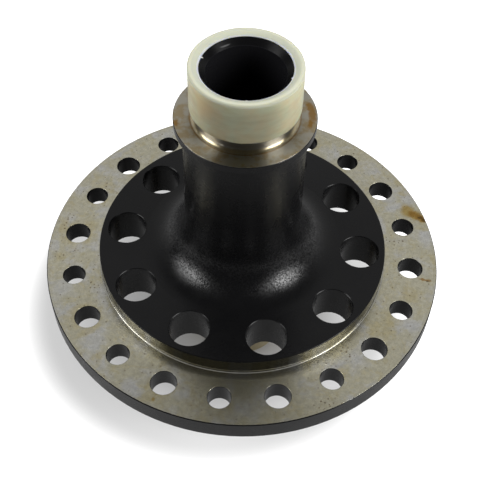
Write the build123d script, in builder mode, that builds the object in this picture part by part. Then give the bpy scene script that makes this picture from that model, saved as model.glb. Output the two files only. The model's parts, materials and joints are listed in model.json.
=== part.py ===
# A steel differential spool: the one-piece hub that locks both axle shafts of a
# driving axle together and carries the ring gear. It stands on its lower journal.
# Sizes are in millimetres. The Z axis is the axle line, and z = 0 is the ground face
# that the ring gear seats on. The first of the large bolt holes lies on the X axis.

import os
from math import pi, radians, tan

from build123d import *

# ring gear flange, with its bolt holes set in from the rim
flange_diameter = 204.0
flange_thickness = 11.2
flange_edge_break = 0.45
large_bolt_hole_diameter = 12.7
small_bolt_hole_diameter = 11.4
bolt_hole_edge_break = 0.2
bolt_distance_from_rim = 13.9
bolt_count_of_each_size = 10

# ground seat for the ring gear, and the register inside it that centres the gear
seat_width = 28.2
register_height = 9.3
register_edge_break = 0.2
register_root_radius = 0.5

# lightening holes in the web, set in from the register
lightening_hole_diameter = 20.0
lightening_distance_from_register = 13.1
lightening_hole_count = 10
lightening_hole_edge_break = 0.3

# neck between the web and the upper collar, slightly tapered as forged
neck_top_diameter = 56.8
neck_base_diameter = 58.6
neck_root_radius = 21.7

# bearing journals and the shoulders that the bearings seat against
journal_diameter = 45.3
upper_journal_length = 27.0
lower_journal_length = 27.0
journal_root_radius = 2.0
journal_end_break = 1.0
collar_overhang = 3.95
collar_thickness = 4.0
collar_edge_break = 0.3
collar_root_radius = 1.5
collar_face_height = 98.0
hub_diameter = 64.5
hub_length = 27.8
hub_root_radius = 8.0

# axle bore: plain at both ends, splined between them
bore_diameter = 35.4
bore_mouth_break = 2.6
spline_tooth_count = 31
spline_module = 1.0583
spline_pressure_angle = 30
spline_length = 88.5
spline_upper_end_height = 74.0

# thin plastic sleeve that covers most of the upper journal
sleeve_wall = 2.4
sleeve_clearance = 0.05
sleeve_lip_thickness = 1.8
sleeve_lip_overhang = 2.35
sleeve_mouth_thickness = 0.4
sleeve_top_radius = 0.8
sleeve_gap_to_collar = 6.9

# heights and radii worked out from the sizes above
flange_radius = flange_diameter / 2
flange_bottom = -flange_thickness
bolt_circle_radius = flange_radius - bolt_distance_from_rim
bolt_pitch = 360 / bolt_count_of_each_size
register_radius = flange_radius - seat_width
lightening_circle_radius = register_radius - lightening_distance_from_register
neck_base_radius = neck_base_diameter / 2
neck_top_radius = neck_top_diameter / 2
journal_radius = journal_diameter / 2
collar_radius = neck_top_radius + collar_overhang
collar_bottom = collar_face_height - collar_thickness
hub_radius = hub_diameter / 2
lower_shoulder = flange_bottom - hub_length
upper_end = collar_face_height + upper_journal_length
lower_end = lower_shoulder - lower_journal_length
bore_radius = bore_diameter / 2
mouth_radius = bore_radius + bore_mouth_break
spline_lower_end = spline_upper_end_height - spline_length
spline_pitch_radius = spline_module * spline_tooth_count / 2
spline_minor_radius = spline_pitch_radius - spline_module / 2
spline_major_radius = spline_pitch_radius + spline_module / 2
spline_lead = bore_radius - spline_minor_radius


def round_corner(section, corner, radius):
    """Round the corner of a flat section that lies nearest to a point (radius, height)."""
    fillet(section.vertices().sort_by_distance(corner)[0], radius)


def bevel_corner(section, corner, size):
    """Bevel the corner of a flat section that lies nearest to a point (radius, height)."""
    chamfer(section.vertices().sort_by_distance(corner)[0], size)


# spool body: one forging, turned, drilled and splined
with BuildPart() as spool_body:
    with BuildSketch(Plane.XZ) as outline:
        with BuildLine():
            Polyline(
                (0, lower_end),
                (journal_radius, lower_end),
                (journal_radius, lower_shoulder),
                (hub_radius, lower_shoulder),
                (hub_radius, flange_bottom),
                (flange_radius, flange_bottom),
                (flange_radius, 0),
                (register_radius, 0),
                (register_radius, register_height),
                (neck_base_radius, register_height),
                (neck_top_radius, collar_bottom),
                (collar_radius, collar_bottom),
                (collar_radius, collar_face_height),
                (journal_radius, collar_face_height),
                (journal_radius, upper_end),
                (0, upper_end),
                close=True,
            )
        make_face()
        round_corner(outline, (journal_radius, lower_shoulder), journal_root_radius)
        round_corner(outline, (hub_radius, flange_bottom), hub_root_radius)
        round_corner(outline, (register_radius, 0), register_root_radius)
        round_corner(outline, (neck_base_radius, register_height), neck_root_radius)
        round_corner(outline, (neck_top_radius, collar_bottom), collar_root_radius)
        round_corner(outline, (journal_radius, collar_face_height), journal_root_radius)
        bevel_corner(outline, (journal_radius, lower_end), journal_end_break)
        bevel_corner(outline, (hub_radius, lower_shoulder), collar_edge_break)
        bevel_corner(outline, (flange_radius, flange_bottom), flange_edge_break)
        bevel_corner(outline, (flange_radius, 0), flange_edge_break)
        bevel_corner(outline, (register_radius, register_height), register_edge_break)
        bevel_corner(outline, (collar_radius, collar_bottom), collar_edge_break)
        bevel_corner(outline, (collar_radius, collar_face_height), collar_edge_break)
        bevel_corner(outline, (journal_radius, upper_end), journal_end_break)
    revolve(axis=Axis.Z)

    # two interleaved rings of bolt holes, so that the flange takes ring gears of either bolt size,
    # each hole with both rims broken at 45 degrees
    underside = Plane((0, 0, flange_bottom), x_dir=(1, 0, 0), z_dir=(0, 0, -1))
    with Locations(Plane.XY, underside):
        with PolarLocations(bolt_circle_radius, bolt_count_of_each_size):
            CounterSinkHole(
                large_bolt_hole_diameter / 2,
                large_bolt_hole_diameter / 2 + bolt_hole_edge_break,
                depth=flange_thickness,
                counter_sink_angle=90,
            )
        with PolarLocations(bolt_circle_radius, bolt_count_of_each_size, start_angle=bolt_pitch / 2):
            CounterSinkHole(
                small_bolt_hole_diameter / 2,
                small_bolt_hole_diameter / 2 + bolt_hole_edge_break,
                depth=flange_thickness,
                counter_sink_angle=90,
            )

    # lightening holes through the web, each on the line of a large bolt hole, broken the same way
    web_top = Plane.XY.offset(register_height)
    with Locations(web_top, underside):
        with PolarLocations(lightening_circle_radius, lightening_hole_count):
            CounterSinkHole(
                lightening_hole_diameter / 2,
                lightening_hole_diameter / 2 + lightening_hole_edge_break,
                depth=register_height + flange_thickness,
                counter_sink_angle=90,
            )

    # axle bore, turned down to the tips of the spline teeth in the middle
    with BuildSketch(Plane.XZ):
        with BuildLine():
            Polyline(
                (0, lower_end),
                (mouth_radius, lower_end),
                (bore_radius, lower_end + bore_mouth_break),
                (bore_radius, spline_lower_end),
                (spline_minor_radius, spline_lower_end + spline_lead),
                (spline_minor_radius, spline_upper_end_height - spline_lead),
                (bore_radius, spline_upper_end_height),
                (bore_radius, upper_end - bore_mouth_break),
                (mouth_radius, upper_end),
                (0, upper_end),
                close=True,
            )
        make_face()
    revolve(axis=Axis.Z, mode=Mode.SUBTRACT)

    # spaces between the spline teeth, broached outwards from the bore
    flank_slope = tan(radians(spline_pressure_angle))
    space_half_width = pi * spline_module / 4
    space_inner_radius = spline_minor_radius - spline_module / 4
    space_inner_half_width = space_half_width + flank_slope * (spline_pitch_radius - space_inner_radius)
    space_outer_half_width = space_half_width - flank_slope * (spline_major_radius - spline_pitch_radius)
    with BuildSketch(Plane.XY.offset(spline_lower_end)):
        with PolarLocations(0, spline_tooth_count):
            Polygon(
                (space_inner_radius, -space_inner_half_width),
                (spline_major_radius, -space_outer_half_width),
                (spline_major_radius, space_outer_half_width),
                (space_inner_radius, space_inner_half_width),
                align=None,
            )
    extrude(amount=spline_length, mode=Mode.SUBTRACT)

# protective sleeve: a thin plastic cup that grips the journal, with a lip over its end that
# thins towards the mouth
with BuildPart() as journal_sleeve:
    sleeve_inner_radius = journal_radius + sleeve_clearance
    sleeve_outer_radius = sleeve_inner_radius + sleeve_wall
    sleeve_bottom = collar_face_height + sleeve_gap_to_collar
    sleeve_top = upper_end + sleeve_lip_thickness
    sleeve_mouth = journal_radius - sleeve_lip_overhang
    with BuildSketch(Plane.XZ) as sleeve_section:
        with BuildLine():
            Polyline(
                (sleeve_inner_radius, sleeve_bottom),
                (sleeve_outer_radius, sleeve_bottom),
                (sleeve_outer_radius, sleeve_top),
                (journal_radius, sleeve_top),
                (sleeve_mouth, upper_end + sleeve_mouth_thickness),
                (sleeve_mouth, upper_end),
                (sleeve_inner_radius, upper_end),
                close=True,
            )
        make_face()
        round_corner(sleeve_section, (sleeve_outer_radius, sleeve_top), sleeve_top_radius)
    revolve(axis=Axis.Z)

os.makedirs("parts", exist_ok=True)
spool_body.part.label = "spool_body"
journal_sleeve.part.label = "journal_sleeve"
export_step(spool_body.part, "parts/spool_body.step")
export_step(journal_sleeve.part, "parts/journal_sleeve.step")
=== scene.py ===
import json
from math import cos, pi, radians, sin
from types import SimpleNamespace

import bpy
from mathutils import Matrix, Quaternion, Vector, noise


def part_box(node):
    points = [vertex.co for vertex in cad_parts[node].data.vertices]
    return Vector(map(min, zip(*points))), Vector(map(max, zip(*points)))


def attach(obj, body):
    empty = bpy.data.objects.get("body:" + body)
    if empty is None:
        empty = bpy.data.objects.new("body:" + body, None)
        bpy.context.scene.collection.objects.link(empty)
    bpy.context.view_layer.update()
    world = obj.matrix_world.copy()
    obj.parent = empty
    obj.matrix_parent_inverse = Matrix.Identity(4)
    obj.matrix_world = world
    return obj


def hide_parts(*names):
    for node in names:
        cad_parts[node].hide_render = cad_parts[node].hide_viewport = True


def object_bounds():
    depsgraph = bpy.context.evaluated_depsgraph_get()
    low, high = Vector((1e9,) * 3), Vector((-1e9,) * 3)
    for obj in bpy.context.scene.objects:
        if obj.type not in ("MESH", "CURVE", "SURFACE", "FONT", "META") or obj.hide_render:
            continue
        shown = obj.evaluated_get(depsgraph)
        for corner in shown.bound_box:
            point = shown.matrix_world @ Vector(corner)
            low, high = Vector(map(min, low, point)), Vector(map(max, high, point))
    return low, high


# The looks of a steel differential spool. The CAD body keeps its shape and gets its finish from one
# material: black oxide all over, with the faces that bearings and gear seat on ground bright. The
# plastic sleeve is modelled again here, a little uneven as moulded. Materials work in millimetres.
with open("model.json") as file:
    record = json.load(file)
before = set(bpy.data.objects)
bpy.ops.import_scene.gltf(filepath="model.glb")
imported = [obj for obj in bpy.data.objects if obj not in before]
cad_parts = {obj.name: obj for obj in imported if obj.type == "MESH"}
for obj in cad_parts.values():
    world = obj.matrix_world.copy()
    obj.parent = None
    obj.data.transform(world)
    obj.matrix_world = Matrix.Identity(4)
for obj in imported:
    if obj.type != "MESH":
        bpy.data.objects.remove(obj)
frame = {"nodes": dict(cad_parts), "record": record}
cad_low, cad_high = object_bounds()

MM = 0.001

# sizes of the part in millimetres, from the record's mounts and from the boxes of the nodes
mounts = {mount["name"]: mount for mount in frame["record"]["mounts"]}


def mount_size(name, key):
    """A size that the record states for a mount, in millimetres."""
    return mounts[name]["dims"][key]


FLANGE_RADIUS = cad_high.x / MM
REGISTER_RADIUS = mount_size("ring_gear_register", "r_mm")
JOURNAL_RADIUS = mount_size("lower_bearing_journal", "r_mm")
BORE_RADIUS = mount_size("axle_bore_upper", "r_mm")
UPPER_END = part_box("spool_body")[1].z / MM
LOWER_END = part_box("spool_body")[0].z / MM
SLEEVE_LOW, SLEEVE_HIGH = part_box("journal_sleeve")
SLEEVE_OUTER = SLEEVE_HIGH.x / MM
SLEEVE_BOTTOM = SLEEVE_LOW.z / MM
SLEEVE_TOP = SLEEVE_HIGH.z / MM

# sizes of both journals that neither of them gives, and the heights of the faces beside them
JOURNAL_LENGTH = 27.0
JOURNAL_END_BREAK = 1.0
COLLAR_FACE = UPPER_END - JOURNAL_LENGTH
HUB_FACE = LOWER_END + JOURNAL_LENGTH

# the seat, the register and its root, which are ground: limits in height above the seat and in radius
SEAT_HEIGHTS = (-0.03, 0.85)
SEAT_RADII = (REGISTER_RADIUS - 0.2, FLANGE_RADIUS - 0.3)
REGISTER_HEIGHTS = (0.3, 8.5)
REGISTER_RADII = (REGISTER_RADIUS - 0.1, REGISTER_RADIUS + 1)
ROOT_RADII = (REGISTER_RADIUS + 0.25, REGISTER_RADIUS + 0.75)

# the journals are ground too, from inside the break of their end edge to a margin past the face beside
JOURNAL_MARGIN = 0.05
JOURNAL_INSIDE = JOURNAL_RADIUS - JOURNAL_END_BREAK - JOURNAL_MARGIN

# radii at the root of a journal: its fillet, the stained ring outside that, and the face beside it
FILLET_START = JOURNAL_RADIUS + 0.2
FILLET_END = JOURNAL_RADIUS + 1.6
STAINED_RING = (JOURNAL_RADIUS + 1.9, JOURNAL_RADIUS + 2.5)
FACE_START = JOURNAL_RADIUS + 2.2

# the flare between web and neck, where the black shines in grains: heights where that sets in and ends
FLARE_SETS_IN = (9.8, 15)
FLARE_FADES_OUT = (55, 32)

# finishes of the steel, as linear colours
CLEAN_STEEL = (0.37, 0.37, 0.36)
FILMED_STEEL = (0.35, 0.333, 0.255)
OILY_STEEL = (0.33, 0.29, 0.17)
ROOT_STEEL = (0.36, 0.355, 0.33)
COLLAR_STEEL = (0.29, 0.275, 0.23)
COLLAR_STAIN = (0.24, 0.185, 0.10)
JOURNAL_STEEL = (0.38, 0.37, 0.34)
FILLET_STEEL = (0.36, 0.31, 0.20)
RUST_YELLOW = (0.26, 0.18, 0.045)
RUST_BROWN = (0.20, 0.105, 0.020)
RUST_DARK = (0.075, 0.045, 0.015)
SPECK = (0.10, 0.065, 0.03)
BLACK_OXIDE = (0.0045, 0.0045, 0.0048)
# painted light: the black is paler in the bore, standing in for light that reaches into it
BORE_PAINTED_LIGHT = (0.008, 0.008, 0.009)
# a painted glint on the edge of the bore's upper mouth
PAINTED_GLINT = (0.10, 0.10, 0.10)

# roughness of the ground steel and of the black: one value, or the least and the most
SEAT_ROUGHNESS = (0.22, 0.29)
REGISTER_ROUGHNESS = 0.15
ROOT_ROUGHNESS = 0.55
JOURNAL_ROUGHNESS = (0.26, 0.36)
FACE_ROUGHNESS = 0.42
BLACK_ROUGHNESS = (0.24, 0.32)

# how strongly the black reflects: on most of it, on the flare and its grains, and towards the mouth
BLACK_SHINE = 0.13
FLARE_SHINE = 0.27
GRAIN_SHINE = (0.25, 1.85)
MOUTH_SHINE = (0.4, 1.0)
BORE_MOUTH_RADII = (BORE_RADIUS + 2.8, BORE_RADIUS + 4)

# tones of the sleeve's plastic, among them painted shade and a painted highlight on its lip
WALL_MILKY = (0.52, 0.54, 0.39)
WALL_YELLOWED = (0.56, 0.48, 0.31)
WALL_BANDS = (0.38, 0.34, 0.20)
WALL_TINGE = (0.55, 0.40, 0.20)
LIP_INNER = (0.72, 0.73, 0.60)
# painted shade on the lip's outer rounding
LIP_OUTER_PAINTED_SHADE = (0.50, 0.51, 0.41)
# painted shade in a ring over the edge of the journal's end
LIP_PAINTED_SHADE_OVER_JOURNAL_EDGE = (0.64, 0.66, 0.54)
# a painted highlight round the mouth
LIP_PAINTED_HIGHLIGHT_AT_MOUTH = (0.95, 0.95, 0.86)

# where those tones lie: the middle of the tinge and its reach, and the radii of the lip's tones, painted
# shade and painted highlight
TINGE_CENTRE = (-15.5, -19.5, UPPER_END - 5)
TINGE_REACH = (9, 2)
OUTER_RADII = (JOURNAL_RADIUS + 1.5, JOURNAL_RADIUS + 2.4)
JOURNAL_EDGE_RADII = (JOURNAL_RADIUS - 1.6, JOURNAL_RADIUS + 0.6)
MOUTH_RADIUS = JOURNAL_RADIUS - 1.7

# marks on the ring gear seat: (degrees from X, radius, half length round, half width across)
CLEAN_MARKS = (
    (29, 98.5, 8, 5), (27.5, 90, 3.5, 6), (12.5, 98, 8, 5), (185.5, 99, 5, 3.5), (202, 95, 8, 7),
    (225, 93, 8, 9), (243.5, 97, 6, 6), (143, 98.5, 6, 3), (20, 77, 9, 3), (338, 98, 6, 5),
)
OIL_MARKS = (
    (32, 99, 4, 4), (156.5, 85, 5, 7), (178, 83, 11, 6), (180, 90, 10, 11), (190, 96, 4, 4),
    (216, 89, 9, 12), (230.5, 96, 4, 6), (251, 92, 9, 11), (310, 87, 5, 4), (350, 90, 5, 7),
    (4, 101, 5, 2.5), (73, 88, 14, 10), (108, 92, 14, 9), (17, 98, 4, 4), (333, 85, 16, 8),
)
OIL_EDGES = ((212, 90, 3.5, 9), (221, 91, 3, 9), (178, 97, 8, 3), (347.5, 90, 3, 7), (36, 100, 4, 2.5))
YELLOW_MARKS = (
    (24.3, 94.8, 6.4, 5.0), (21.8, 97.8, 4.8, 4.2), (20.2, 100.4, 4.0, 3.8), (252, 98, 1.2, 1.2),
)
BROWN_MARKS = (
    (22.7, 96.6, 3.2, 3.2), (21.2, 98.8, 3.4, 3.2), (20.0, 100.7, 3.3, 3.0), (356.1, 96, 0.9, 4.5),
)
DARK_MARKS = ((20.7, 99.7, 1.4, 1.8), (19.6, 101.2, 2.4, 2.0), (355.7, 97.6, 0.7, 1.3))
SPECK_MARKS = (
    (12, 83, 8, 9), (177, 94, 14, 5), (190, 96, 4, 5), (188, 89, 4, 4), (316, 81, 5, 6), (10.5, 88.7, 3, 2),
    (204, 80, 6, 5), (241, 78, 4, 4), (358, 83, 6, 5), (157, 87, 6, 5), (56, 97, 6, 5), (300, 98, 8, 4),
)

# marks on the collar's face and a painted glint in the bore's upper mouth, given in the same way
COLLAR_MARKS = ((8, 30.0, 7.0, 2.4), (17, 29.6, 5.0, 2.2), (357, 29.3, 4.0, 1.5), (197, 31.2, 3.0, 1.6))
MOUTH_GLINT = (126.5, 18.6, 3.2, 0.3)
MOUTH_DEPTH = 5


class Nodes:
    """The nodes of a material or world, built by short calls whose inputs are numbers or sockets."""

    def __init__(self, owner):
        self.owner = owner
        owner.use_nodes = True
        self.tree = owner.node_tree
        self.tree.nodes.clear()
        kind = "World" if isinstance(owner, bpy.types.World) else "Material"
        self.output = self.tree.nodes.new("ShaderNodeOutput" + kind)

    def node(self, kind, inputs=(), **settings):
        """A node of that kind. Its inputs are values in order, or by name in a dictionary."""
        made = self.tree.nodes.new("ShaderNode" + kind)
        for key, value in settings.items():
            setattr(made, key, value)
        if isinstance(inputs, dict):
            for name, value in inputs.items():
                self.put(made.inputs[name], value)
        else:
            for socket, value in zip(made.inputs, inputs):
                self.put(socket, value)
        return made

    def put(self, socket, value):
        """Gives a socket its value: another socket is linked, a number or colour is written in."""
        if isinstance(value, bpy.types.NodeSocket):
            self.tree.links.new(value, socket)
        elif value is not None:
            if socket.type == "RGBA" and len(value) == 3:
                value = (*value, 1)
            socket.default_value = value

    def surface(self, shader):
        """Ends the tree in that shader."""
        self.tree.links.new(shader, self.output.inputs["Surface"])

    def math(self, operation, *values):
        return self.node("Math", values, operation=operation).outputs[0]

    def product(self, *values):
        """The product of the values, which for masks is 1 where all of them are 1."""
        found = values[0]
        for value in values[1:]:
            found = self.math("MULTIPLY", found, value)
        return found

    def largest(self, *values):
        """The largest of the values, which for masks is 1 where any of them is 1."""
        found = values[0]
        for value in values[1:]:
            found = self.math("MAXIMUM", found, value)
        return found

    def ramp(self, value, start, end, low=0.0, high=1.0):
        """Goes smoothly from low to high as a value goes from start to end."""
        made = self.node("MapRange", (value, start, end, low, high), interpolation_type="SMOOTHSTEP")
        return made.outputs[0]

    def above(self, value, limit, soft=0.04):
        """A mask that is 1 above a limit and 0 below it, with a soft edge."""
        return self.ramp(value, limit - soft, limit + soft)

    def below(self, value, limit, soft=0.04):
        """A mask that is 1 below a limit and 0 above it, with a soft edge."""
        return self.ramp(value, limit + soft, limit - soft)

    def between(self, value, low, high, soft=0.04):
        return self.product(self.above(value, low, soft), self.below(value, high, soft))

    def blend(self, share, first, second):
        """A number between two, by a share from 0 to 1."""
        return self.node("MapRange", (share, 0.0, 1.0, first, second)).outputs[0]

    def mix(self, share, first, second):
        """A colour between two, by a share from 0 to 1."""
        made = self.node("Mix", (share,), data_type="RGBA")
        for socket, value in zip([s for s in made.inputs if s.type == "RGBA"], (first, second)):
            self.put(socket, value)
        return next(s for s in made.outputs if s.type == "RGBA")

    def vector(self, operation, *values):
        made = self.node("VectorMath", values, operation=operation)
        return made.outputs["Value" if operation in ("LENGTH", "DISTANCE") else "Vector"]

    def scale(self, vector, factor):
        """A vector or colour times a number, which the node takes after two unused inputs."""
        return self.vector("SCALE", vector, None, None, factor)

    def position(self):
        """The point in the part's frame, in millimetres."""
        return self.scale(self.node("TexCoord").outputs["Object"], 1 / MM)

    def axes(self, vector):
        """The three numbers of a vector, by the names X, Y and Z."""
        return self.node("SeparateXYZ", (vector,)).outputs

    def noise_texture(self, position, size, detail=2.0, roughness=0.5, distortion=0.0):
        """A noise whose blotches are about a size in millimetres."""
        inputs = {"Vector": position, "Scale": 1 / size, "Detail": detail}
        inputs |= {"Roughness": roughness, "Distortion": distortion}
        return self.node("TexNoise", inputs)

    def noise(self, *settings):
        """The same as a number from 0 to 1."""
        return self.noise_texture(*settings).outputs[0]

    def spread(self, noise_value, low, high):
        """Noise made into numbers from low to high, with its rare values cut off."""
        return self.ramp(noise_value, 0.3, 0.7, low, high)

    def push(self, position, size, reach):
        """The position, pushed about by up to half a reach, so that marks get uneven edges."""
        swirl = self.noise_texture(position, size, 3.0).outputs["Color"]
        offset = self.vector("SUBTRACT", swirl, (0.5, 0.5, 0.5))
        return self.vector("ADD", position, self.vector("MULTIPLY", offset, (reach, reach, 0)))

    def mark(self, flat, angle, radius, half_length, half_width):
        """1 in the middle of an oval mark, 0 outside it."""
        turn = radians(angle)
        inputs = {
            "Vector": flat,
            "Location": (radius * cos(turn), radius * sin(turn), 0),
            "Rotation": (0, 0, turn),
            "Scale": (half_width, half_length, 1),
        }
        made = self.node("Mapping", inputs, vector_type="TEXTURE")
        return self.ramp(self.vector("LENGTH", made.outputs[0]), 1.0, 0.4)

    def marks(self, flat, places):
        return self.largest(*(self.mark(flat, *place) for place in places))

    def dots(self, flat, spacing, size, share):
        """Round dots up to a size across, in a share of the squares of the spacing."""
        made = self.node("TexVoronoi", {"Vector": flat, "Scale": 1 / spacing}, voronoi_dimensions="2D")
        chance = self.axes(made.outputs["Color"])
        edge = self.blend(chance["Y"], 0.25 * size / spacing, 0.5 * size / spacing)
        dot = self.ramp(self.math("DIVIDE", made.outputs["Distance"], edge), 1.0, 0.5)
        return self.product(dot, self.math("LESS_THAN", chance["X"], share))

    def bump(self, strength, depth, height):
        """A normal that leans as a surface of that height and depth in millimetres would."""
        return self.node("Bump", {"Strength": strength, "Distance": depth * MM, "Height": height}).outputs[0]

    def rays(self):
        """Masks of the rays from the camera, and of those reflected or let through by a surface."""
        path = self.node("LightPath").outputs
        return path["Is Camera Ray"], self.largest(path["Is Glossy Ray"], path["Is Transmission Ray"])


def find_zones(m):
    """The point on the spool in several forms, masks of its ground faces and flare, and their grain."""
    position = m.position()
    flat = m.vector("MULTIPLY", position, (1, 1, 0))
    height = m.axes(position)["Z"]
    radius = m.vector("LENGTH", flat)
    seat = m.product(m.between(height, *SEAT_HEIGHTS), m.between(radius, *SEAT_RADII))
    register = m.product(m.between(height, *REGISTER_HEIGHTS), m.between(radius, *REGISTER_RADII))
    outside = m.above(radius, JOURNAL_INSIDE)
    upper_journal = m.product(m.above(height, COLLAR_FACE - JOURNAL_MARGIN), outside)
    lower_journal = m.product(m.below(height, HUB_FACE + JOURNAL_MARGIN), outside)
    journal = m.largest(upper_journal, lower_journal)
    return SimpleNamespace(
        position=position,
        flat=flat,
        height=height,
        radius=radius,
        seat=seat,
        register=register,
        root=m.product(seat, m.between(radius, *ROOT_RADII, 0.1)),
        journal=journal,
        lower_journal=lower_journal,
        ground=m.largest(seat, register, journal),
        frayed=m.push(flat, 1.6, 2.2),
        flare=m.product(m.ramp(height, *FLARE_SETS_IN), m.ramp(height, *FLARE_FADES_OUT)),
        grain=m.noise(position, 0.8, 3, 0.65),
    )


def seat_colour(m, zones):
    """Ground steel under a film of old oil, with marks of oil and rust, specks and lines of turning."""
    uneven = m.push(zones.flat, 5.0, 7.0)
    film = m.ramp(m.noise(uneven, 14, 3, 0.6), 0.30, 0.55, 0.15, 1.0)
    film = m.product(film, m.blend(m.marks(uneven, CLEAN_MARKS), 1.0, 0.3))
    colour = m.mix(film, CLEAN_STEEL, FILMED_STEEL)

    patchy = m.ramp(m.noise(zones.flat, 4, 3, 0.6), 0.3, 0.65, 0.15, 0.75)
    oil = m.product(m.marks(uneven, OIL_MARKS), patchy)
    oil_edges = m.product(m.marks(zones.frayed, OIL_EDGES), 0.6)
    colour = m.mix(m.largest(oil, oil_edges), colour, OILY_STEEL)
    streaks = m.ramp(m.noise(zones.flat, 5, 4, 0.7, 1.2), 0.5, 0.62, 0.0, 0.45)
    colour = m.mix(m.product(streaks, film), colour, OILY_STEEL)
    for places, stain, strength in (
        (YELLOW_MARKS, RUST_YELLOW, 0.85),
        (BROWN_MARKS, RUST_BROWN, 0.8),
        (DARK_MARKS, RUST_DARK, 0.8),
    ):
        colour = m.mix(m.product(m.marks(zones.frayed, places), strength), colour, stain)

    crowded = m.product(m.dots(zones.flat, 2.2, 1.3, 0.6), m.marks(zones.flat, SPECK_MARKS))
    sparse = m.product(m.dots(zones.flat, 4.4, 1.1, 0.4), 0.75)
    colour = m.mix(m.product(m.largest(crowded, sparse), 0.85), colour, SPECK)

    mottle = m.spread(m.noise(zones.flat, 2.4, 3, 0.6), 0.90, 1.09)
    along_radius = m.node("CombineXYZ", (zones.radius, 0.0, 0.0)).outputs[0]
    turning = m.spread(m.noise(along_radius, 1.1, 3, 0.7), 0.95, 1.05)
    shade = m.product(mottle, turning, m.spread(zones.grain, 0.93, 1.07))
    return m.scale(m.mix(zones.root, colour, ROOT_STEEL), shade)


def journal_colour(m, zones):
    """Ground steel of both journals, browner where they run into the stained faces beside them."""
    radius = zones.radius
    stained = m.ramp(m.noise(zones.position, 5, 3, 0.6), 0.42, 0.62)
    collar = m.mix(m.product(stained, 0.8), COLLAR_STEEL, COLLAR_STAIN)
    collar = m.mix(m.product(m.marks(zones.frayed, COLLAR_MARKS), 0.85), collar, RUST_BROWN)
    ring_start, ring_end = STAINED_RING
    ring = m.product(m.above(radius, ring_start, 0.2), m.below(radius, ring_end, 0.3))
    collar = m.mix(m.product(ring, 0.6), collar, RUST_BROWN)
    oily = m.largest(m.above(radius, FILLET_START, 0.2), zones.lower_journal)
    round_steel = m.mix(oily, JOURNAL_STEEL, FILLET_STEEL)
    return m.mix(m.below(radius, FILLET_END, 0.4), collar, round_steel)


def black_colour(m, zones):
    """Black oxide, with painted light that makes it paler in the bore, and a painted glint in its upper
    mouth.
    """
    black = m.mix(m.below(zones.radius, BORE_RADIUS + 0.2), BLACK_OXIDE, BORE_PAINTED_LIGHT)
    glint_mask = m.product(m.mark(zones.flat, *MOUTH_GLINT), m.above(zones.height, UPPER_END - MOUTH_DEPTH))
    return m.mix(glint_mask, black, PAINTED_GLINT)


def steel_roughness(m, zones):
    """Polished on the register, dull in its root and on the faces beside the journals."""
    ground = m.blend(zones.register, m.blend(zones.grain, *SEAT_ROUGHNESS), REGISTER_ROUGHNESS)
    ground = m.blend(zones.root, ground, ROOT_ROUGHNESS)
    ground = m.blend(zones.journal, ground, m.blend(zones.grain, *JOURNAL_ROUGHNESS))
    faces = m.product(zones.journal, m.above(zones.radius, FACE_START, 0.5))
    ground = m.blend(faces, ground, FACE_ROUGHNESS)
    black = m.spread(m.noise(zones.position, 9, 3, 0.6), *BLACK_ROUGHNESS)
    return m.blend(zones.ground, black, ground)


def steel_shine(m, zones):
    """How strongly the black reflects: most on the flare, in bright grains, and least in the mouth."""
    grains = m.ramp(m.noise(zones.position, 0.9, 3, 0.8), 0.38, 0.62, *GRAIN_SHINE)
    mouth = m.ramp(zones.radius, *BORE_MOUTH_RADII, *MOUTH_SHINE)
    overall = m.blend(zones.flare, BLACK_SHINE, FLARE_SHINE)
    return m.product(overall, m.blend(zones.flare, 1.0, grains), mouth)


def spool_steel():
    """Black oxide with ground faces that oil and rust have marked."""
    m = Nodes(bpy.data.materials.new("spool_steel"))
    zones = find_zones(m)
    bright = m.mix(zones.journal, seat_colour(m, zones), journal_colour(m, zones))
    stretched = m.product(m.largest(zones.seat, zones.journal), m.blend(zones.root, 0.85, 0.0))
    pitting = m.blend(zones.ground, m.blend(zones.flare, 0.2, 0.7), 0.06)
    shader = m.node("BsdfPrincipled", {
        "Base Color": m.mix(zones.ground, black_colour(m, zones), bright),
        "Metallic": zones.ground,
        "Roughness": steel_roughness(m, zones),
        "Specular IOR Level": steel_shine(m, zones),
        "Tangent": m.node("Tangent", direction_type="RADIAL", axis="Z").outputs[0],
        "Anisotropic": stretched,
        "Anisotropic Rotation": 0.25,
        "Normal": m.bump(pitting, 0.13, m.noise(zones.position, 0.7, 2, 0.6)),
    })
    m.surface(shader.outputs[0])
    return m.owner


def wall_colour(m, position, height, radius, bands):
    """Milky plastic, yellowed in places and in bands, with painted light that makes it lighter at the sides
    and towards the top.
    """
    wall = m.mix(m.ramp(m.noise(position, 9, 3, 0.6), 0.35, 0.65, 0.0, 0.8), WALL_MILKY, WALL_YELLOWED)
    wall = m.mix(m.ramp(bands, 0.4, 0.7, 0.0, 0.35), wall, WALL_BANDS)
    from_tinge = m.vector("DISTANCE", m.push(position, 6.0, 5.0), TINGE_CENTRE)
    wall = m.mix(m.ramp(from_tinge, *TINGE_REACH, 0.0, 0.6), wall, WALL_TINGE)
    # painted light and shade: the wall is made lighter where it faces X either way, darker lower down and
    # lighter towards its top
    sideways = m.math("DIVIDE", m.math("ABSOLUTE", m.axes(position)["X"]), radius)
    painted_side_light = m.ramp(sideways, 0.4, 0.95, 1.0, 1.5)
    painted_top_light = m.ramp(height, UPPER_END - 9, UPPER_END, 0.95, 1.15)
    return m.scale(wall, m.product(painted_side_light, painted_top_light))


def lip_colour(m, radius):
    """Whiter plastic, with a painted highlight round the mouth, and painted shade on the outer rounding and
    in a ring over the edge of the journal's end.
    """
    lip = m.mix(m.ramp(radius, *OUTER_RADII), LIP_INNER, LIP_OUTER_PAINTED_SHADE)
    lip = m.mix(m.between(radius, *JOURNAL_EDGE_RADII, 0.3), lip, LIP_PAINTED_SHADE_OVER_JOURNAL_EDGE)
    return m.mix(m.below(radius, MOUTH_RADIUS, 0.2), lip, LIP_PAINTED_HIGHLIGHT_AT_MOUTH)


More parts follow.
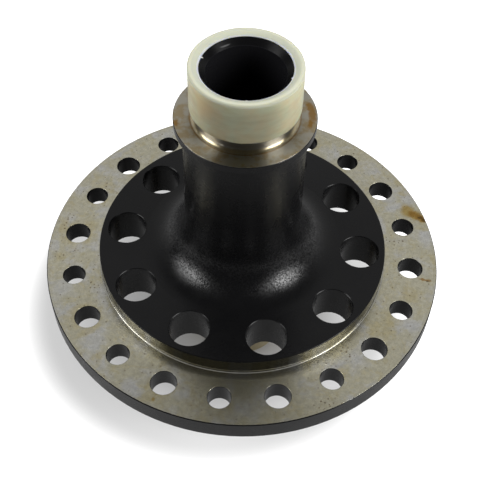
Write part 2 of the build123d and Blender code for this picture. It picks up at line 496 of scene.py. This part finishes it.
def sleeve_plastic():
    """Milky plastic, a little yellow, that lets the steel under it through."""
    m = Nodes(bpy.data.materials.new("sleeve_plastic"))
    position = m.position()
    height = m.axes(position)["Z"]
    radius = m.vector("LENGTH", m.vector("MULTIPLY", position, (1, 1, 0)))
    bands = m.noise(m.vector("MULTIPLY", position, (0.25, 0.25, 1.0)), 2.2, 2, 0.5)
    lip = m.above(height, UPPER_END + 0.2, 0.5)
    wall = wall_colour(m, position, height, radius, bands)
    shader = m.node("BsdfPrincipled", {
        "Base Color": m.mix(lip, wall, lip_colour(m, radius)),
        "Roughness": m.blend(lip, m.blend(bands, 0.35, 0.5), 0.6),
        "Specular IOR Level": m.blend(lip, 0.35, 0.2),
        "Transmission Weight": m.blend(lip, 0.55, 0.1),
        "IOR": 1.45,
        "Subsurface Weight": 1.0,
        "Subsurface Radius": (1.0, 0.9, 0.6),
        "Subsurface Scale": 2 * MM,
        "Normal": m.bump(0.25, 0.15, bands),
    })
    m.surface(shader.outputs[0])
    return m.owner


def arc(centre, radius, start, end, steps):
    """Points (radius, height) on an arc from one angle to another, in degrees."""
    points = []
    for step in range(steps + 1):
        turn = radians(start + (end - start) * step / steps)
        points.append((centre[0] + radius * cos(turn), centre[1] + radius * sin(turn)))
    return points


def upright(radius, start, end, parts):
    """Points (radius, height) that split an upright line into parts, without its first point."""
    return [(radius, start + (end - start) * step / parts) for step in range(1, parts + 1)]


# the sleeve as moulded: sizes of its section in millimetres
SLEEVE_INNER = JOURNAL_RADIUS + 0.05
SLEEVE_MOUTH = SLEEVE_INNER - 2.4
MOUTH_TOP = UPPER_END + 0.4
FOOT_BREAK = 0.3
FOOT_ROUNDING = 0.5
SHOULDER_ROUNDING = 0.8
MOUTH_ROUNDING = 0.2

# how uneven it is: in height near its foot, and in radius in the outer half of its wall, round its
# mouth towards the back, and on the face of the mouth
SAG = 0.35
SAG_REACH = 3
SWELL = 0.12
MOUTH_SHIFT = 0.35
MOUTH_RAGGEDNESS = 0.10
WALL_MIDDLE = SLEEVE_INNER + 1.2
MOUTH_SURROUND = SLEEVE_MOUTH + 1.2
MOUTH_FACE = SLEEVE_MOUTH + 0.3

# bits of flash at the mouth: (degrees from X, how far in, half width in degrees)
FLASH = ((168.9, 1.4, 0.9), (277.0, 0.45, 1.6), (348.9, 0.5, 2.5))
SLEEVE_SEGMENTS = 288


def sleeve_section():
    """The closed section of the sleeve as points (radius, height), up its outside and down its inside.

    The lip's top slopes down to the mouth, with a slight step over the edge of the journal's end.
    """
    foot_top = SLEEVE_BOTTOM + FOOT_ROUNDING
    shoulder = SLEEVE_TOP - SHOULDER_ROUNDING
    points = [(SLEEVE_INNER + FOOT_BREAK, SLEEVE_BOTTOM)]
    points += arc((SLEEVE_OUTER - FOOT_ROUNDING, foot_top), FOOT_ROUNDING, -90, 0, 4)
    points += upright(SLEEVE_OUTER, foot_top, shoulder, 16)[:-1]
    points += arc((SLEEVE_OUTER - SHOULDER_ROUNDING, shoulder), SHOULDER_ROUNDING, 0, 90, 8)
    points += [(JOURNAL_RADIUS + 0.9, SLEEVE_TOP), (JOURNAL_RADIUS + 0.3, SLEEVE_TOP - 0.05)]
    points += [(JOURNAL_RADIUS - 0.3, SLEEVE_TOP - 0.3), (SLEEVE_MOUTH + 1.0, MOUTH_TOP + 0.5)]
    points += arc((SLEEVE_MOUTH + MOUTH_ROUNDING, MOUTH_TOP - MOUTH_ROUNDING), MOUTH_ROUNDING, 90, 180, 3)
    points += [(SLEEVE_MOUTH, UPPER_END), (SLEEVE_INNER - 1.0, UPPER_END), (SLEEVE_INNER, UPPER_END)]
    points += upright(SLEEVE_INNER, UPPER_END, SLEEVE_BOTTOM + FOOT_BREAK, 8)
    return points


def ripple(turn, fineness, height=0.0):
    """Smooth noise from -1 to 1 round the axis, with more waves the greater its fineness."""
    return noise.noise(Vector((fineness * cos(turn), fineness * sin(turn), height)))


def as_moulded(radius, height, turn):
    """A point of the sleeve's section, moved as the mould left it at that turn."""
    lowness = max(0.0, 1 - (height - SLEEVE_BOTTOM) / SAG_REACH)
    moved_height = height + SAG * ripple(turn, 3) * lowness
    if radius > WALL_MIDDLE:
        radius += SWELL * ripple(turn, 2, height / 6)
    if radius < MOUTH_SURROUND:
        radius += MOUTH_SHIFT * max(0.0, sin(turn)) ** 1.5
    if radius < MOUTH_FACE:
        for angle, reach, spread in FLASH:
            away = (turn * 180 / pi - angle + 180) % 360 - 180
            radius -= reach * max(0.0, 1 - abs(away) / spread) ** 1.5
        radius -= MOUTH_RAGGEDNESS * abs(ripple(turn, 14, 5))
    return radius, moved_height


def build_sleeve():
    """The plastic cup over the journal, with an uneven lower edge and bits of flash at its mouth."""
    section = sleeve_section()
    count = len(section)
    vertices = []
    faces = []
    for segment in range(SLEEVE_SEGMENTS):
        turn = 2 * pi * segment / SLEEVE_SEGMENTS
        here, there = segment * count, (segment + 1) % SLEEVE_SEGMENTS * count
        for step, point in enumerate(section):
            radius, height = as_moulded(*point, turn)
            vertices.append((radius * cos(turn) * MM, radius * sin(turn) * MM, height * MM))
            following = (step + 1) % count
            faces.append((here + step, there + step, there + following, here + following))
    mesh = bpy.data.meshes.new("sleeve")
    mesh.from_pydata(vertices, [], faces)
    mesh.polygons.foreach_set("use_smooth", [True] * len(faces))
    mesh.update()
    mesh.materials.append(sleeve_plastic())
    sleeve = bpy.data.objects.new("sleeve", mesh)
    bpy.context.scene.collection.objects.link(sleeve)
    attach(sleeve, "root")
    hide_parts("journal_sleeve")


def dress_body():
    """Gives the CAD body its finish, in the material slots that it has."""
    steel = spool_steel()
    for slot in frame["nodes"]["spool_body"].material_slots:
        slot.material = steel


# the floor, in metres, and its colours under the part and in front, where the camera stands
FLOOR_SIZE = 6.0
FLOOR_PALE = (0.58, 0.58, 0.58)
FLOOR_DARK = (0.06, 0.06, 0.06)

# where the floor goes from dark to pale, by Y, and where its glow to the camera grows, by distance
# from the middle of the shadow, which paints part of the shadow under and round the part: two limits,
# then the strengths at both
DARK_TO_PALE = (-420, -220)
SHADOW_CENTRE = (-17.5, 15, LOWER_END)
# painted shadow: the glow is nothing in the middle of the shadow and grows outwards
NEAR_GLOW = (40, 95, 0.0, 0.25)
FAR_GLOW = (96, 126, 0.0, 0.9)
REFLECTED_GLOW = 0.1


def floor_paint():
    """Pale and matt, with a glow to the camera that is strongest away from the shadow, and whose fall
    towards the part paints part of that shadow.
    """
    m = Nodes(bpy.data.materials.new("floor"))
    position = m.position()
    away = m.vector("LENGTH", m.vector("SUBTRACT", position, SHADOW_CENTRE))
    # painted shadow: less glow towards the middle of the shadow
    glow = m.math("ADD", m.ramp(away, *NEAR_GLOW), m.ramp(away, *FAR_GLOW))
    seen, reflected = m.rays()
    strength = m.largest(m.product(seen, glow), m.product(reflected, REFLECTED_GLOW))
    emission = m.node("Emission", ((1, 1, 1), strength))
    paint = m.mix(m.ramp(m.axes(position)["Y"], *DARK_TO_PALE), FLOOR_DARK, FLOOR_PALE)
    matt = m.node("BsdfDiffuse", (paint,))
    m.surface(m.node("AddShader", (matt.outputs[0], emission.outputs[0])).outputs[0])
    m.owner.cycles.emission_sampling = "NONE"
    return m.owner


def build_floor():
    """A pale floor that clips to white away from the part and keeps its shadow, which its glow partly
    paints.

    In front of the part it turns dark, since the photographed faces mirror a dark room there.
    """
    half = FLOOR_SIZE / 2
    z = LOWER_END * MM
    corners = [(-half, -half, z), (half, -half, z), (half, half, z), (-half, half, z)]
    mesh = bpy.data.meshes.new("floor")
    mesh.from_pydata(corners, [], [(0, 1, 2, 3)])
    mesh.materials.append(floor_paint())
    floor = bpy.data.objects.new("floor", mesh)
    bpy.context.scene.collection.objects.link(floor)


# how bright the room is by the Y of a direction, as mirrored and as light: two limits, then two levels
ROOM_MIRRORED = (0.2, 0.55, 0.02, 1.0)
ROOM_LIGHT = (-0.2, 0.6, 0.04, 0.5)


def build_world():
    """A room that is bright at the back and dark in front, behind the photographer.

    Mirror-like faces see its back as white, and so does the camera where it looks past the floor.
    """
    m = Nodes(bpy.data.worlds.new("studio"))
    seen, reflected = m.rays()
    behind = m.axes(m.node("TexCoord").outputs["Generated"])["Y"]
    level = m.blend(reflected, m.ramp(behind, *ROOM_LIGHT), m.ramp(behind, *ROOM_MIRRORED))
    m.surface(m.node("Background", ((1, 1, 1), m.largest(seen, level))).outputs[0])
    m.owner.cycles.sampling_method = "NONE"
    bpy.context.scene.world = m.owner


# soft boxes, aimed at a point above the flange: name, degrees round from X, degrees up, distance,
# width and height in metres, and the brightness of the panel
SOFT_BOXES = (
    ("right_box", -21, 30, 1.10, 0.55, 0.55, 14.0),
    ("left_box", -161, 31, 1.10, 0.55, 0.55, 10.0),
)
LIGHT_AIM = Vector((0, 0, 20)) * MM


def build_lights():
    """Soft boxes, each a panel of even brightness that the camera doesn't see."""
    for name, azimuth, elevation, distance, width, height, brightness in SOFT_BOXES:
        turn, rise = radians(azimuth), radians(elevation)
        direction = Vector((cos(turn) * cos(rise), sin(turn) * cos(rise), sin(rise)))
        lamp = bpy.data.lights.new(name, "AREA")
        lamp.shape = "RECTANGLE"
        lamp.size = width
        lamp.size_y = height
        lamp.energy = brightness * pi * width * height
        box = bpy.data.objects.new(name, lamp)
        box.location = LIGHT_AIM + direction * distance
        box.rotation_mode = "QUATERNION"
        box.rotation_quaternion = direction.to_track_quat("Z", "Y")
        box.visible_camera = False
        bpy.context.scene.collection.objects.link(box)


# the photograph's viewpoint: turn and elevation are in degrees, the lens and its sensor in millimetres
CAMERA_AIM = Vector((-1.70, 4.07, 3.37)) * MM
CAMERA_DISTANCE = 487.3 * MM
CAMERA_TURN = 6.24
CAMERA_ELEVATION = 51.45
CAMERA_ROLL = 1.106
CAMERA_LENS = 69.31
CAMERA_SENSOR = 36.0


def build_camera():
    """Looks down on the part from in front, a little rolled as the photograph is."""
    data = bpy.data.cameras.new("camera")
    data.lens = CAMERA_LENS
    data.sensor_width = CAMERA_SENSOR
    camera = bpy.data.objects.new("camera", data)
    turn, rise = radians(CAMERA_TURN), radians(CAMERA_ELEVATION)
    back = Vector((sin(turn) * cos(rise), -cos(turn) * cos(rise), sin(rise)))
    roll = Quaternion((0, 0, 1), radians(CAMERA_ROLL))
    camera.location = CAMERA_AIM + back * CAMERA_DISTANCE
    camera.rotation_mode = "QUATERNION"
    camera.rotation_quaternion = back.to_track_quat("Z", "Y") @ roll
    bpy.context.scene.collection.objects.link(camera)
    bpy.context.scene.camera = camera


dress_body()
build_sleeve()
build_floor()
build_world()
build_lights()
build_camera()
bpy.context.scene.view_settings.view_transform = "Standard"
